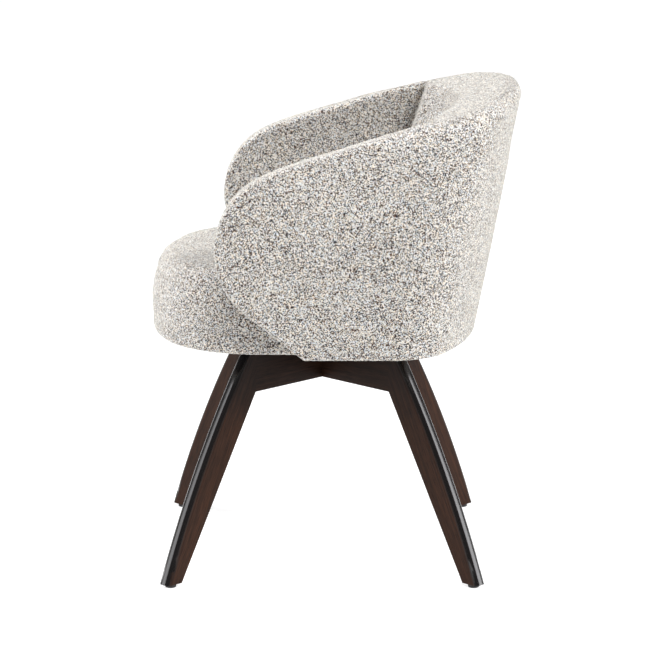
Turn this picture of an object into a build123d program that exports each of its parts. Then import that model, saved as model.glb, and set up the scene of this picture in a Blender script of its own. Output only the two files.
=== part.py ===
from build123d import *
import math
import os

# Swivel armchair: a round seat inside a U-shaped upholstered wall, on four splayed board legs.
# Millimetres, +Z up. The sitter faces -Y and the sitter's left hand is +X.
# Everything is modelled about the swivel axis and moved to the middle of the footprint at the end.

# Overall heights
GLIDE_HEIGHT = 6.0
RAIL_BOTTOM = 293.0
BASE_TOP = 358.0
SWIVEL_HEIGHT = 26.0
SEAT_SKIRT = 4.0
BACK_TOP = 787.0

# Leg boards on the diagonals, measured outwards from the swivel axis
LEG_THICKNESS = 24.0
FOOT_REACH = 361.0
FOOT_WIDTH = 32.0
LEG_TOP_REACH = 179.0
KNEE_REACH = 163.0
LEG_BOW = 11.0
LEG_OUTER_ROUND = 8.0
LEG_INNER_ROUND = 2.5

# Crossed rails and the dowels that join them to the legs
RAIL_EDGE_ROUND = 2.0
LAP_CLEARANCE = 0.1
DOWEL_DIAMETER = 8.0
DOWEL_LENGTH = 38.0
DOWEL_IN_LEG = 17.0
DOWEL_EDGE = 17.0
GLUE_GAP = 0.05

# Glides and their nails
GLIDE_DIAMETER = 18.0
GLIDE_INSET = 17.0
GLIDE_EDGE_ROUND = 1.5
NAIL_DIAMETER = 2.5
NAIL_LENGTH = 22.0
NAIL_IN_GLIDE = 3.0

# Ball-bearing swivel: two pressed plates with a ring of balls between their raised middles
PLATE_SIDE = 160.0
PLATE_CORNER = 12.0
PLATE_THICKNESS = 3.0
LOWER_RISE = 8.0
PLATEAU_RADIUS = 66.0
PLATEAU_SLOPE = 8.0
BALL_DIAMETER = 8.0
BALL_COUNT = 16
BALL_CIRCLE = 55.0
RACE_DEPTH = 1.2
BALL_CLEARANCE = 0.2
CAGE_WIDTH = 12.0
CAGE_THICKNESS = 1.5
PLATE_HOLE_PITCH = 136.0
FIXED_CLEARANCE = 0.02

# Hub rivet through both plates
HUB_DIAMETER = 24.0
HUB_BORE = 15.0
HUB_HEAD_DIAMETER = 38.0
HUB_HEAD_HEIGHT = 2.5
RUNNING_CLEARANCE = 0.05
WASHER_DIAMETER = 40.0
WASHER_THICKNESS = 2.0
END_PLAY = 0.2
CLIP_DIAMETER = 30.0
CLIP_THICKNESS = 1.5
CLIP_GROOVE = 1.2
HUB_TAIL = 1.5

# Stops that limit the swivel to a quarter turn each way
SWIVEL_LIMIT = 90.0
STOP_RADIUS = 36.0
STOP_DIAMETER = 8.0
STOP_SHANK = 5.0
STOP_GAP_ANGLE = 0.6
STOP_LENGTH = 4.4

# Screws and bolts of the swivel
SCREW_DIAMETER = 5.0
SCREW_LENGTH = 36.0
SCREW_HEAD_DIAMETER = 9.5
SCREW_HEAD_HEIGHT = 3.0
BOLT_DIAMETER = 6.0
BOLT_HEAD_DIAMETER = 12.0
BOLT_HEAD_HEIGHT = 3.2
HOLE_CLEARANCE = 0.25
TEE_NUT_BARREL = 9.0
TEE_NUT_DEPTH = 12.0
TEE_NUT_FLANGE = 20.0
TEE_NUT_FLANGE_HEIGHT = 1.5

# Seat: plywood board, crowned round cushion and the cloth that closes the underside
BOARD_THICKNESS = 15.0
BOARD_INSET = 20.0
BOARD_REAR_GAP = 1.0
SEAT_SIDE_BULGE = 2.0
SEAT_FRONT = 280.6
SEAT_CENTRE = -20.0
SEAT_FRONT_RADIUS = 315.0
SEAT_SIDE_FRONT = 59.3
SEAT_SIDE_REAR = -8.0
SEAT_HEIGHT = 140.0
SEAT_SEAM_HEIGHT = 98.0
SEAT_SEAM_INSET = 8.0
SEAT_TOP_INSET = 20.0
SEAT_BELLY_HEIGHT = 40.0
SEAT_EDGE_TUCK = 8.0
SEAT_CROWN_RADIUS = 2400.0
SEAT_SHOULDER = 40.0
SEAT_BACK_GAP = 3.0
SOFT_GAP = 0.3
DUST_COVER_THICKNESS = 0.8
DUST_COVER_INSET = 3.0
DUST_COVER_MARGIN = 4.0

# Upholstered wall that makes both arms and the back
WALL = 40.0
SHELL_HALF_WIDTH = 282.0
SHELL_FOOT_TAPER = 2.0
SHELL_TOP_TAPER = 36.0
BACK_FOOT_LEAN = 78.0
BACK_MIDDLE_LEAN = 34.0
BACK_TOP_LEAN = 7.0
SHELL_REAR_FLATTEN = 218.0
SHELL_CORNER_RADIUS = 100.0
SHELL_MIDDLE_HEIGHT = 210.0
SHELL_EDGE_ROUND = 10.0
BACK_REACH = 322.0
BACK_ROLL = 24.0
BACK_ROLL_SLOPE = 24.0
ARM_FOOT = -28.6
ARM_NOSE_CENTRE = -37.0
ARM_NOSE_HEIGHT = 553.0
ARM_NOSE_RADIUS = 130.0
ARM_TOP_SLOPE = 25.0
ARM_MIDDLE = 48.0
ARM_MIDDLE_HEIGHT = 716.5
ARM_REAR = 150.0
ARM_REAR_HEIGHT = 746.5
BACK_RISE = 217.0
BACK_RISE_HEIGHT = 761.0

# Moulded plywood inside the wall, and the bolts that hold it to the seat board
CORE_DEPTH = 14.0
CORE_THICKNESS = 12.0
CORE_EDGE_INSET = 22.0
CORE_FOOT = 4.0
BARREL_DEPTH = 18.5
SHELL_BOLT_HEAD_DIAMETER = 14.0
SHELL_BOLT_HEAD_HEIGHT = 3.5
SIDE_BOLT_FRONT = 10.0
SIDE_BOLT_REAR = 85.0
REAR_BOLT_OFFSET = 80.0
BARREL_DIAMETER = 10.0
BARREL_HEIGHT = 12.0
BARREL_END = 12.0

# Inside-back pad between the arms
PAD_DEPTH = 62.0
PAD_END_DEPTH = 26.0
PAD_EDGE_ROUND = 10.0
PAD_CORNER_RADIUS = 80.0
PAD_CREASE = 160.0
PAD_CREASE_HEIGHT = 705.0
PAD_LEAN = 18.0

# Sizes that follow from the ones above
LEG_FOOT = GLIDE_HEIGHT
BOARD_BOTTOM = BASE_TOP + SWIVEL_HEIGHT
BOARD_TOP = BOARD_BOTTOM + BOARD_THICKNESS
SEAT_BOTTOM = BOARD_BOTTOM - SEAT_SKIRT
SHELL_BOTTOM = SEAT_BOTTOM
BOLT_LEVEL = BOARD_BOTTOM + BOARD_THICKNESS / 2
LOWER_PLATEAU = BASE_TOP + LOWER_RISE + PLATE_THICKNESS
BALL_GAP = BALL_DIAMETER - 2 * RACE_DEPTH
UPPER_PLATEAU = LOWER_PLATEAU + BALL_GAP
BALL_LEVEL = LOWER_PLATEAU + BALL_GAP / 2
LEG_ANGLES = {"front_left": -45, "front_right": -135, "rear_left": 45, "rear_right": 135}
SHELL_REAR_RADIUS = SHELL_HALF_WIDTH + SHELL_REAR_FLATTEN
SHELL_FOOT_HALF_WIDTH = SHELL_HALF_WIDTH - SHELL_FOOT_TAPER
SHELL_TOP_HALF_WIDTH = SHELL_HALF_WIDTH - SHELL_TOP_TAPER
SHELL_FOOT_REAR = BACK_REACH - BACK_FOOT_LEAN
SHELL_MIDDLE_REAR = BACK_REACH - BACK_MIDDLE_LEAN
SHELL_TOP_REAR = BACK_REACH + BACK_TOP_LEAN
SEAT_HALF_WIDTH = SHELL_FOOT_HALF_WIDTH - WALL + SEAT_SIDE_BULGE
BOARD_HALF_WIDTH = SEAT_HALF_WIDTH - BOARD_INSET
OPEN = BACK_TOP / 2

nodes = {}


def diagonal_plane(angle):
    """Upright plane through the swivel axis: x runs outwards along the diagonal, y runs up."""
    turn = math.radians(angle)
    outwards = (math.cos(turn), math.sin(turn), 0)
    sideways = (math.sin(turn), -math.cos(turn), 0)
    return Plane(origin=(0, 0, 0), x_dir=outwards, z_dir=sideways)


def upright(radius, bottom, height, x=0.0, y=0.0):
    """Cylinder that stands on its lower face at the given place."""
    return Pos(x, y, bottom) * Cylinder(radius, height, align=(Align.CENTER, Align.CENTER, Align.MIN))


def square_places(pitch):
    """The four corners of a square hole pattern about the swivel axis."""
    half = pitch / 2
    return [(x, y) for x in (-half, half) for y in (-half, half)]


def group(solids):
    """Several like pieces kept together as separate solids of one node."""
    return Compound(list(solids))


# Legs: bowed, tapered boards with a rounded outer edge and an upright shoulder for the rail
knee = (KNEE_REACH, RAIL_BOTTOM)
shoulder = (KNEE_REACH, BASE_TOP)
leg_top = (LEG_TOP_REACH, BASE_TOP)
foot_outer = (FOOT_REACH, LEG_FOOT)
foot_inner = (FOOT_REACH - FOOT_WIDTH, LEG_FOOT)
leg_outline = [
    Line(foot_outer, foot_inner),
    Line(foot_inner, knee),
    Line(knee, shoulder),
    Line(shoulder, leg_top),
    SagittaArc(leg_top, foot_outer, LEG_BOW),
]
leg_face = make_face(leg_outline)
flat_leg = extrude(leg_face, LEG_THICKNESS / 2, both=True)
bowed_edges = flat_leg.edges().filter_by(GeomType.CIRCLE)
rounded_leg = fillet(bowed_edges, LEG_OUTER_ROUND)
slope_middle = ((foot_inner[0] + knee[0]) / 2, (foot_inner[1] + knee[1]) / 2)
inner_edges = [
    edge
    for edge in rounded_leg.edges().filter_by(GeomType.LINE)
    if abs(edge.center().X - slope_middle[0]) < 1 and abs(edge.center().Y - slope_middle[1]) < 1
]
rounded_leg = fillet(inner_edges, LEG_INNER_ROUND)

glide_reach = FOOT_REACH - GLIDE_INSET
dowel_levels = (RAIL_BOTTOM + DOWEL_EDGE, BASE_TOP - DOWEL_EDGE)
dowel_start = KNEE_REACH + DOWEL_IN_LEG - DOWEL_LENGTH


def dowel(level, radius):
    """A dowel lying along the diagonal through the joint of rail and leg."""
    lying = Pos(dowel_start, level, 0) * Rot(0, 90, 0)
    return lying * Cylinder(radius, DOWEL_LENGTH, align=(Align.CENTER, Align.CENTER, Align.MIN))


dowel_holes = [dowel(level, DOWEL_DIAMETER / 2 + GLUE_GAP) for level in dowel_levels]
nail_top = GLIDE_HEIGHT - NAIL_IN_GLIDE + NAIL_LENGTH
nail_spot = Pos(glide_reach, nail_top / 2, 0) * Rot(90, 0, 0)
nail_hole = nail_spot * Cylinder(NAIL_DIAMETER / 2 + GLUE_GAP, nail_top)
drilled_leg = rounded_leg - dowel_holes - nail_hole
for place, angle in LEG_ANGLES.items():
    nodes["leg_" + place] = diagonal_plane(angle) * drilled_leg

dowels = [dowel(level, DOWEL_DIAMETER / 2) for level in dowel_levels]
nodes["leg_dowels"] = group(
    diagonal_plane(angle) * pin for angle in LEG_ANGLES.values() for pin in dowels
)

# Crossed rails: half-lapped boards under the swivel plate, one on each diagonal
rail_height = BASE_TOP - RAIL_BOTTOM
rail_middle = RAIL_BOTTOM + rail_height / 2
plain_rail = Pos(0, rail_middle, 0) * Box(2 * KNEE_REACH, rail_height, LEG_THICKNESS)
rail_lower_edges = plain_rail.edges().filter_by(Axis.X).group_by(Axis.Y)[0]
plain_rail = fillet(rail_lower_edges, RAIL_EDGE_ROUND)
mirrored_holes = [Rot(0, 180, 0) * hole for hole in dowel_holes]
plain_rail = plain_rail - dowel_holes - mirrored_holes
lap_width = LEG_THICKNESS + 2 * LAP_CLEARANCE
upper_lap = Pos(0, rail_middle + rail_height / 2, 0) * Box(lap_width, rail_height, LEG_THICKNESS)
lower_lap = Pos(0, rail_middle - rail_height / 2, 0) * Box(lap_width, rail_height, LEG_THICKNESS)
screw_places = square_places(PLATE_HOLE_PITCH)
screw_bottom = BASE_TOP + PLATE_THICKNESS - SCREW_LENGTH
screw_holes = [
    upright(SCREW_DIAMETER / 2 + GLUE_GAP, screw_bottom, SCREW_LENGTH, x, y) for x, y in screw_places
]
nodes["cross_rail_lower"] = diagonal_plane(45) * (plain_rail - upper_lap) - screw_holes
nodes["cross_rail_upper"] = diagonal_plane(-45) * (plain_rail - lower_lap) - screw_holes

# Glides: hard discs nailed under the feet
plain_glide = upright(GLIDE_DIAMETER / 2, 0, GLIDE_HEIGHT)
plain_glide = fillet(plain_glide.edges().group_by(Axis.Z)[0], GLIDE_EDGE_ROUND)
nail_bottom = GLIDE_HEIGHT - NAIL_IN_GLIDE
plain_glide = plain_glide - upright(NAIL_DIAMETER / 2 + GLUE_GAP, nail_bottom, NAIL_IN_GLIDE)
nail = upright(NAIL_DIAMETER / 2, nail_bottom, NAIL_LENGTH)
nails = []
for place, angle in LEG_ANGLES.items():
    turn = math.radians(angle)
    spot = Pos(glide_reach * math.cos(turn), glide_reach * math.sin(turn), 0)
    nodes["glide_" + place] = spot * plain_glide
    nails.append(spot * nail)
nodes["glide_nails"] = group(nails)


def pressed_plate(flange_bottom, plateau_bottom):
    """Square steel plate whose round middle is pressed up or down to carry the balls."""
    rim = PLATE_SIDE
    slope_end = PLATEAU_RADIUS + PLATEAU_SLOPE
    lower_side = [
        (0, plateau_bottom),
        (PLATEAU_RADIUS, plateau_bottom),
        (slope_end, flange_bottom),
        (rim, flange_bottom),
    ]
    upper_side = [(radius, height + PLATE_THICKNESS) for radius, height in reversed(lower_side)]
    section = Plane.XZ * make_face(Polyline(*lower_side, *upper_side, close=True))
    pressed = revolve(section, Axis.Z)
    square = RectangleRounded(PLATE_SIDE, PLATE_SIDE, PLATE_CORNER)
    return pressed & extrude(square, BOARD_BOTTOM)


# Swivel plates: the lower one is screwed to the rails, the upper one bolted to the seat board
race = Pos(0, 0, BALL_LEVEL) * Torus(BALL_CIRCLE, BALL_DIAMETER / 2 + BALL_CLEARANCE)
plate_holes = [
    upright(BOLT_DIAMETER / 2 + HOLE_CLEARANCE, 0, BOARD_BOTTOM, x, y) for x, y in screw_places
]
stop_reach = 2 * math.degrees(math.asin(STOP_DIAMETER / 2 / STOP_RADIUS)) + STOP_GAP_ANGLE
stop_angles = (-90 - SWIVEL_LIMIT - stop_reach, -90 + SWIVEL_LIMIT + stop_reach)


def stop_spot(angle):
    """Place on the stop circle, with -90 degrees at the front of the chair."""
    turn = math.radians(angle)
    return STOP_RADIUS * math.cos(turn), STOP_RADIUS * math.sin(turn)


lower_shank_bottom = LOWER_PLATEAU - PLATE_THICKNESS
pin_holes = [
    upright(STOP_SHANK / 2 + FIXED_CLEARANCE, lower_shank_bottom, PLATE_THICKNESS, *stop_spot(angle))
    for angle in stop_angles
]
peg_hole = upright(STOP_SHANK / 2 + FIXED_CLEARANCE, UPPER_PLATEAU, PLATE_THICKNESS, *stop_spot(-90))
lower_bore = upright(HUB_DIAMETER / 2 + RUNNING_CLEARANCE, BASE_TOP, SWIVEL_HEIGHT)
upper_bore = upright(HUB_DIAMETER / 2 + FIXED_CLEARANCE, BASE_TOP, SWIVEL_HEIGHT)
lower_plate = pressed_plate(BASE_TOP, lower_shank_bottom)
upper_plate = pressed_plate(BOARD_BOTTOM - PLATE_THICKNESS, UPPER_PLATEAU)
nodes["swivel_lower_plate"] = lower_plate - race - plate_holes - pin_holes - lower_bore
nodes["swivel_upper_plate"] = upper_plate - race - plate_holes - peg_hole - upper_bore

nodes["swivel_stop_pins"] = group(
    upright(STOP_DIAMETER / 2, LOWER_PLATEAU, STOP_LENGTH, *stop_spot(angle))
    + upright(STOP_SHANK / 2, lower_shank_bottom, PLATE_THICKNESS, *stop_spot(angle))
    for angle in stop_angles
)
nodes["swivel_stop_peg"] = upright(
    STOP_DIAMETER / 2, UPPER_PLATEAU - STOP_LENGTH, STOP_LENGTH, *stop_spot(-90)
) + upright(STOP_SHANK / 2, UPPER_PLATEAU, PLATE_THICKNESS, *stop_spot(-90))

# Ball ring: a flat cage with one pocket for each ball
ball_places = PolarLocations(BALL_CIRCLE, BALL_COUNT)
cage_bottom = BALL_LEVEL - CAGE_THICKNESS / 2
cage_ring = upright(BALL_CIRCLE + CAGE_WIDTH / 2, cage_bottom, CAGE_THICKNESS)
cage_ring = cage_ring - upright(BALL_CIRCLE - CAGE_WIDTH / 2, cage_bottom, CAGE_THICKNESS)
pocket = upright(BALL_DIAMETER / 2 + BALL_CLEARANCE, cage_bottom, CAGE_THICKNESS)
nodes["ball_cage"] = cage_ring - [place * pocket for place in ball_places]
nodes["bearing_balls"] = group(
    place * Pos(0, 0, BALL_LEVEL) * Sphere(BALL_DIAMETER / 2) for place in ball_places
)

# Hub: a hollow rivet fixed in the upper plate that turns in the lower one, held by washer and clip
hub_top = UPPER_PLATEAU + PLATE_THICKNESS
washer_top = lower_shank_bottom - END_PLAY
washer_bottom = washer_top - WASHER_THICKNESS
clip_bottom = washer_bottom - CLIP_THICKNESS
hub_bottom = clip_bottom - HUB_TAIL
hub = upright(HUB_DIAMETER / 2, hub_bottom, hub_top - hub_bottom)
hub = hub + upright(HUB_HEAD_DIAMETER / 2, hub_top, HUB_HEAD_HEIGHT)
hub = hub - upright(HUB_BORE / 2, hub_bottom, SWIVEL_HEIGHT)
groove_radius = HUB_DIAMETER / 2 - CLIP_GROOVE
clip_ring = upright(CLIP_DIAMETER / 2, clip_bottom, CLIP_THICKNESS)
groove = clip_ring - upright(groove_radius, clip_bottom, CLIP_THICKNESS)
nodes["swivel_hub"] = hub - groove
washer = upright(WASHER_DIAMETER / 2, washer_bottom, WASHER_THICKNESS)
nodes["hub_washer"] = washer - upright(HUB_DIAMETER / 2 + RUNNING_CLEARANCE, washer_bottom, WASHER_THICKNESS)
clip = clip_ring - upright(groove_radius + FIXED_CLEARANCE, clip_bottom, CLIP_THICKNESS)
clip_opening = Pos(0, CLIP_DIAMETER / 2, clip_bottom) * Box(
    HUB_DIAMETER / 2, CLIP_DIAMETER, CLIP_THICKNESS, align=(Align.CENTER, Align.CENTER, Align.MIN)
)
nodes["hub_clip"] = clip - clip_opening

# Wood screws through the lower plate into the rails
screw_top = BASE_TOP + PLATE_THICKNESS
screw_shank = upright(SCREW_DIAMETER / 2, screw_bottom, SCREW_LENGTH)
screw = screw_shank + upright(SCREW_HEAD_DIAMETER / 2, screw_top, SCREW_HEAD_HEIGHT)
screw = fillet(screw.edges().group_by(Axis.Z)[-1], SCREW_HEAD_HEIGHT / 3)
nodes["lower_plate_screws"] = group(Pos(x, y, 0) * screw for x, y in screw_places)

# Bolts through the upper plate into tee nuts let into the seat board
bolt_head_bottom = BOARD_BOTTOM - PLATE_THICKNESS - BOLT_HEAD_HEIGHT
bolt_length = PLATE_THICKNESS + BOARD_THICKNESS - TEE_NUT_FLANGE_HEIGHT
bolt = upright(BOLT_HEAD_DIAMETER / 2, bolt_head_bottom, BOLT_HEAD_HEIGHT)
bolt = fillet(bolt.edges().group_by(Axis.Z)[0], BOLT_HEAD_HEIGHT / 3)
bolt = bolt + upright(BOLT_DIAMETER / 2, BOARD_BOTTOM - PLATE_THICKNESS, bolt_length)
nodes["upper_plate_bolts"] = group(Pos(x, y, 0) * bolt for x, y in screw_places)
tee_flange_bottom = BOARD_TOP - TEE_NUT_FLANGE_HEIGHT
tee_barrel_bottom = tee_flange_bottom - TEE_NUT_DEPTH
tee_nut = upright(TEE_NUT_BARREL / 2, tee_barrel_bottom, TEE_NUT_DEPTH)
tee_nut = tee_nut + upright(TEE_NUT_FLANGE / 2, tee_flange_bottom, TEE_NUT_FLANGE_HEIGHT)
tee_nut = tee_nut - upright(BOLT_DIAMETER / 2 + FIXED_CLEARANCE, tee_barrel_bottom, BOARD_THICKNESS)
nodes["tee_nuts"] = group(Pos(x, y, 0) * tee_nut for x, y in screw_places)


def rounded_end(half_width, reach, end_radius, corner_radius):
    """Right corner arc, flat end arc and left corner arc of a rounded plan end that faces +Y."""
    centre_y = reach - end_radius
    across = half_width - corner_radius
    along = math.sqrt((end_radius - corner_radius) ** 2 - across**2)
    corner_y = centre_y + along
    touch_x = end_radius * across / (end_radius - corner_radius)
    touch_y = centre_y + end_radius * along / (end_radius - corner_radius)
    half_turn = math.atan2(along, across) / 2
    bulge_x = across + corner_radius * math.cos(half_turn)
    bulge_y = corner_y + corner_radius * math.sin(half_turn)
    return [
        ThreePointArc((half_width, corner_y), (bulge_x, bulge_y), (touch_x, touch_y)),
        ThreePointArc((touch_x, touch_y), (0, reach), (-touch_x, touch_y)),
        ThreePointArc((-touch_x, touch_y), (-bulge_x, bulge_y), (-half_width, corner_y)),
    ]


def corner_radius(half_width, reach, end_radius, side_end):
    """Radius of the corner that leads from the end of a straight side into a rounded end."""
    along = side_end - reach + end_radius
    return (end_radius**2 - half_width**2 - along**2) / (end_radius - half_width) / 2


def seat_plan(half_width, front_end, rear_end):
    """Closed plan about the seat's centre from a front end and a rear end with straight sides."""
    front_curves = [Rot(0, 0, 180) * curve for curve in rounded_end(half_width, *front_end)]
    rear_curves = rounded_end(half_width, *rear_end)
    left_side = Line(rear_curves[2] @ 1, front_curves[0] @ 0)
    right_side = Line(front_curves[2] @ 1, rear_curves[0] @ 0)
    return Pos(0, SEAT_CENTRE, 0) * make_face([*rear_curves, left_side, *front_curves, right_side])


def shell_plan(half_width, rear, rear_radius, corner_radius, front):
    """Plan of one face of the wall: open at the front, rounded at the rear."""
    rear_end = rounded_end(half_width, rear, rear_radius, corner_radius)
    left_side = Line(rear_end[2] @ 1, (-half_width, -front))
    front_side = Line((-half_width, -front), (half_width, -front))
    right_side = Line((half_width, -front), rear_end[0] @ 0)
    return make_face([*rear_end, left_side, front_side, right_side])


# Levels of the wall: below its foot, at its fullest and above its top
shell_levels = [
    (SHELL_BOTTOM - SEAT_SKIRT, SHELL_FOOT_HALF_WIDTH, SHELL_FOOT_REAR),
    (SHELL_BOTTOM + SHELL_MIDDLE_HEIGHT, SHELL_HALF_WIDTH, SHELL_MIDDLE_REAR),
    (BACK_TOP + BACK_ROLL, SHELL_TOP_HALF_WIDTH, SHELL_TOP_REAR),
]


def wall_body(side_inset, rear_inset, corner_radius, front):
    """Solid inside the wall's outer face, moved in by the given amounts at the sides and the rear."""
    plans = []
    for level, half_width, rear in shell_levels:
        plan = shell_plan(
            half_width - side_inset, rear - rear_inset, SHELL_REAR_RADIUS - rear_inset, corner_radius, front
        )
        plans.append(Pos(0, 0, level) * plan)
    return loft(plans)


def even_body(inset, front=OPEN):
    """Solid inside the wall's outer face, moved in evenly all round."""
    return wall_body(inset, inset, SHELL_CORNER_RADIUS - inset, front)


def side_profile(bottom, inset):
    """Side view of arm and back: sloping front edge, round nose, rising top and rolled back."""
    centre = Vector(ARM_NOSE_CENTRE, ARM_NOSE_HEIGHT)
    to_foot = Vector(ARM_FOOT, SHELL_BOTTOM) - centre
    bearing = math.degrees(math.atan2(to_foot.Y, to_foot.X))
    swing = math.degrees(math.acos(ARM_NOSE_RADIUS / to_foot.length))
    low_angle = bearing - swing
    high_angle = 90 + ARM_TOP_SLOPE - 360
    nose = CenterArc(centre, ARM_NOSE_RADIUS - inset, low_angle, high_angle - low_angle)
    slope = nose % 0
    toe = (nose @ 0) + slope * ((bottom - (nose @ 0).Y) / slope.Y)
    roll_centre = Vector(BACK_REACH - BACK_ROLL, BACK_TOP - BACK_ROLL)
    roll = CenterArc(roll_centre, BACK_ROLL - inset, 90 + BACK_ROLL_SLOPE, -90 - BACK_ROLL_SLOPE)
    arm_middle = Vector(ARM_MIDDLE, ARM_MIDDLE_HEIGHT)
    arm_rear = Vector(ARM_REAR, ARM_REAR_HEIGHT)
    back_rise = Vector(BACK_RISE, BACK_RISE_HEIGHT)
    rise = (back_rise - arm_middle).normalized()
    inwards = Vector(rise.Y, -rise.X) * inset
    top_points = [point + inwards for point in (arm_middle, arm_rear, back_rise)]
    top = Spline(nose @ 1, *top_points, roll @ 0, tangents=[nose % 1, roll % 0])
    heel = Vector(BACK_REACH - inset, bottom)
    return make_face([nose, top, roll, Line(roll @ 1, heel), Line(heel, toe), Line(toe, nose @ 0)])


def across_chair(profile):
    """A side view made solid over the full width of the chair."""
    return extrude(Plane.YZ * profile, OPEN, both=True)


def outline_edges(body):
    """Edges where the faces seen from the side meet the curved upright faces of a wall."""
    side_faces = [face for face in body.faces() if face.geom_type != GeomType.BSPLINE]
    return [edge for face in side_faces for edge in face.edges() if edge.geom_type == GeomType.BSPLINE]


# Moulded plywood core, and the pocket in the foam that takes it from below
deep = SHELL_BOTTOM - CORE_EDGE_INSET
core_wall = even_body(CORE_DEPTH) - even_body(CORE_DEPTH + CORE_THICKNESS, 2 * OPEN)
pocket_wall = even_body(CORE_DEPTH - SOFT_GAP) - even_body(CORE_DEPTH + CORE_THICKNESS + SOFT_GAP, 2 * OPEN)
core = core_wall & across_chair(side_profile(SHELL_BOTTOM + CORE_FOOT, CORE_EDGE_INSET))
core_pocket = pocket_wall & across_chair(side_profile(deep, CORE_EDGE_INSET - SOFT_GAP))

# Foam and cover of the wall, with rounded edges all round
wall = even_body(0.0) - even_body(WALL, 2 * OPEN)
wall = wall & across_chair(side_profile(SHELL_BOTTOM, 0.0))
wall = fillet(outline_edges(wall), SHELL_EDGE_ROUND) - core_pocket

# Bolts that pull the core against the seat board, with barrel nuts inside the board


def lying(radius, start, length):
    """Cylinder along +X from the given start."""
    turned = Pos(start, 0, 0) * Rot(0, 90, 0)
    return turned * Cylinder(radius, length, align=(Align.CENTER, Align.CENTER, Align.MIN))


bolt_head_radius = SHELL_BOLT_HEAD_DIAMETER / 2
head_band = Pos(0, 0, BOLT_LEVEL) * Box(2 * OPEN, 2 * OPEN, SHELL_BOLT_HEAD_DIAMETER)
side_bearing = (core & head_band).bounding_box().max.X
rear_strip = Pos(REAR_BOLT_OFFSET, OPEN, BOLT_LEVEL) * Box(
    SHELL_BOLT_HEAD_DIAMETER, 2 * OPEN, SHELL_BOLT_HEAD_DIAMETER
)
rear_bearing = (core & rear_strip).bounding_box().max.Y
shell_bolt_length = side_bearing - BOARD_HALF_WIDTH + BARREL_DEPTH + BARREL_END
bolt_places = [
    Pos(side * side_bearing, y, BOLT_LEVEL) * Rot(0, 0, 90 - side * 90)
    for side in (1, -1)
    for y in (SIDE_BOLT_FRONT, SIDE_BOLT_REAR)
]
bolt_places += [
    Pos(x, rear_bearing, BOLT_LEVEL) * Rot(0, 0, 90) for x in (-REAR_BOLT_OFFSET, REAR_BOLT_OFFSET)
]
shell_bolt = lying(BOLT_DIAMETER / 2, -shell_bolt_length, shell_bolt_length)
shell_bolt = shell_bolt + lying(bolt_head_radius, 0, SHELL_BOLT_HEAD_HEIGHT)
bolt_hole = lying(BOLT_DIAMETER / 2 + HOLE_CLEARANCE, -shell_bolt_length, shell_bolt_length)
head_room_length = CORE_THICKNESS + SHELL_BOLT_HEAD_HEIGHT + SOFT_GAP
head_room = lying(bolt_head_radius + SOFT_GAP, -CORE_THICKNESS, head_room_length)
barrel_spot = Pos(BARREL_END - shell_bolt_length, 0, 0)
barrel = barrel_spot * Cylinder(BARREL_DIAMETER / 2, BARREL_HEIGHT)
barrel = barrel - lying(BOLT_DIAMETER / 2 + FIXED_CLEARANCE, -shell_bolt_length, shell_bolt_length)
barrel_hole = barrel_spot * upright(
    BARREL_DIAMETER / 2 + GLUE_GAP, -BOARD_THICKNESS / 2, (BOARD_THICKNESS + BARREL_HEIGHT) / 2
)
bolt_holes = [place * bolt_hole for place in bolt_places]
nodes["shell_frame"] = core - bolt_holes
nodes["shell_bolts"] = group(place * shell_bolt for place in bolt_places)
nodes["barrel_nuts"] = group(place * barrel for place in bolt_places)
nodes["back_upholstery"] = wall - bolt_holes - [place * head_room for place in bolt_places]

# Inside-back pad: fills the back between the arms and ends in an upright crease on each arm
pad = even_body(WALL + SOFT_GAP)
pad = pad - wall_body(WALL + PAD_END_DEPTH, WALL + PAD_DEPTH, PAD_CORNER_RADIUS, 2 * OPEN)
pad = pad & across_chair(side_profile(BOARD_TOP + SOFT_GAP, 0.0))
behind_crease = Pos(0, PAD_CREASE, PAD_CREASE_HEIGHT) * Rot(-PAD_LEAN, 0, 0) * Box(
    2 * OPEN, OPEN, 2 * OPEN, align=(Align.CENTER, Align.MIN, Align.CENTER)
)
pad = pad & behind_crease
front_gauge = even_body(WALL + PAD_END_DEPTH / 2)
pad_front_edges = [edge for edge in outline_edges(pad) if front_gauge.is_inside(edge @ 0.5)]
nodes["back_pad"] = fillet(pad_front_edges, PAD_EDGE_ROUND)

# Seat board, let in under the cushion and reaching back under the pad
seat_front_reach = SEAT_FRONT + SEAT_CENTRE
seat_front_corner = corner_radius(SEAT_HALF_WIDTH, seat_front_reach, SEAT_FRONT_RADIUS, SEAT_SIDE_FRONT)
seat_front_end = (seat_front_reach, SEAT_FRONT_RADIUS, seat_front_corner)
board_front = [size - BOARD_INSET for size in seat_front_end]
board_reach = SHELL_FOOT_REAR - WALL - BOARD_REAR_GAP - SEAT_CENTRE


def board_plan(margin):
    """Plan of the seat board, grown or shrunk evenly."""
    front_end = [size + margin for size in board_front]
    rear_end = [board_reach + margin, SHELL_REAR_RADIUS - WALL + margin, SHELL_CORNER_RADIUS - WALL + margin]
    return seat_plan(BOARD_HALF_WIDTH + margin, front_end, rear_end)


board = Pos(0, 0, BOARD_BOTTOM) * extrude(board_plan(0.0), BOARD_THICKNESS)
tee_holes = [
    upright(TEE_NUT_BARREL / 2 + GLUE_GAP, BOARD_BOTTOM, BOARD_THICKNESS, x, y) for x, y in screw_places
]
tee_recesses = [
    upright(TEE_NUT_FLANGE / 2 + GLUE_GAP, tee_flange_bottom, TEE_NUT_FLANGE_HEIGHT, x, y)
    for x, y in screw_places
]
barrel_holes = [place * barrel_hole for place in bolt_places]
nodes["seat_board"] = board - tee_holes - tee_recesses - bolt_holes - barrel_holes

# Seat cushion: rounded lower edge, full sides, drawn in at the seam, and a crowned top


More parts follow.
